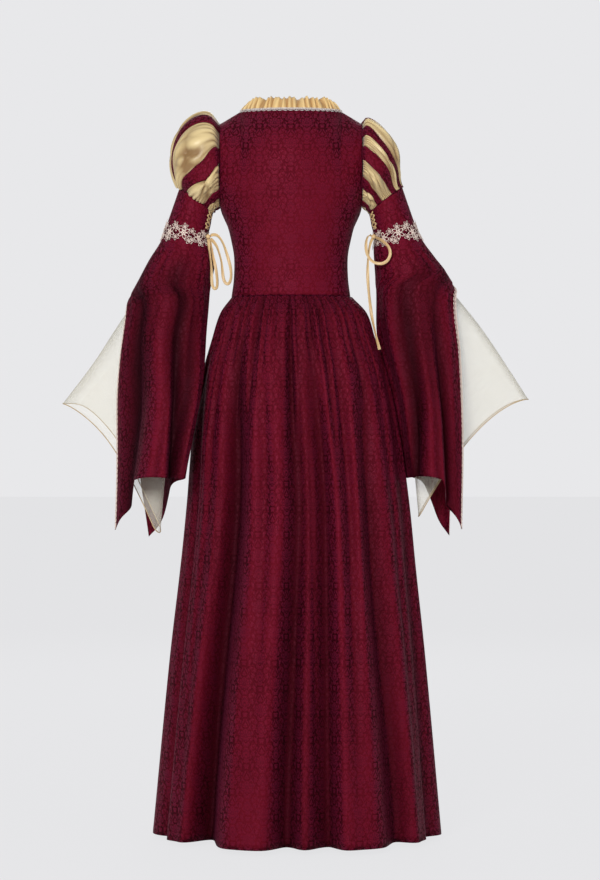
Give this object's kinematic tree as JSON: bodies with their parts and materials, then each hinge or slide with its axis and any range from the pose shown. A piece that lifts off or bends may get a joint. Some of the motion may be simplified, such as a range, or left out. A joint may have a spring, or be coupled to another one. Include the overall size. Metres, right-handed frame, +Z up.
{
  "type": "renaissance dress",
  "caption": "Dress as worn: fitted brocade bodice, gathered floor-length skirt, gold puffed shoulders under panes, split bell sleeves over sheer sleeves.",
  "frame": {"origin": "the shoulders mount, midway between the two shoulder points at the height of the shoulder line, where the wearer carries the dress", "axes": "+X is the wearer's left, -Y the front, +Y the back, +Z up; the hem is 1.39 m below the origin"},
  "size_m": [0.913, 0.4941, 1.4312],
  "materials": {
    "brocade": "burgundy woven damask with a soft sheen",
    "satin": "gold satin",
    "organza": "sheer ivory organza",
    "lace": "rose-beige corded lace",
    "braid": "pale metallic braid"
  },
  "bodies": {
    "root": {"bodice_back": "brocade", "bodice_front": "brocade", "neck_braid_back": "braid", "neck_braid_front": "braid", "neck_ruffle": "satin", "skirt_back": "brocade", "skirt_front": "brocade", "puff_left": "satin", "puff_right": "satin", "pane_left_1": "brocade", "pane_left_2": "brocade", "pane_left_3": "brocade", "pane_left_4": "brocade", "pane_left_5": "brocade", "pane_left_6": "brocade", "pane_left_7": "brocade", "pane_right_1": "brocade", "pane_right_2": "brocade", "pane_right_3": "brocade", "pane_right_4": "brocade", "pane_right_5": "brocade", "pane_right_6": "brocade", "pane_right_7": "brocade", "upper_sleeve_left": "brocade", "upper_sleeve_right": "brocade", "lace_band_left": "lace", "lace_band_right": "lace", "bell_sleeve_left": "brocade", "bell_sleeve_right": "brocade", "split_braid_back_left": "braid", "split_braid_back_right": "braid", "split_braid_front_left": "braid", "split_braid_front_right": "braid", "sheer_sleeve_left": "organza", "sheer_sleeve_right": "organza", "lacing_left": "satin", "lacing_right": "satin", "bow_knot_left": "satin", "bow_knot_right": "satin", "ribbon_left_long_loop": "satin", "ribbon_left_short_loop": "satin", "ribbon_right_loop": "satin", "ribbon_right_tail": "satin"}
  },
  "joints": []
}
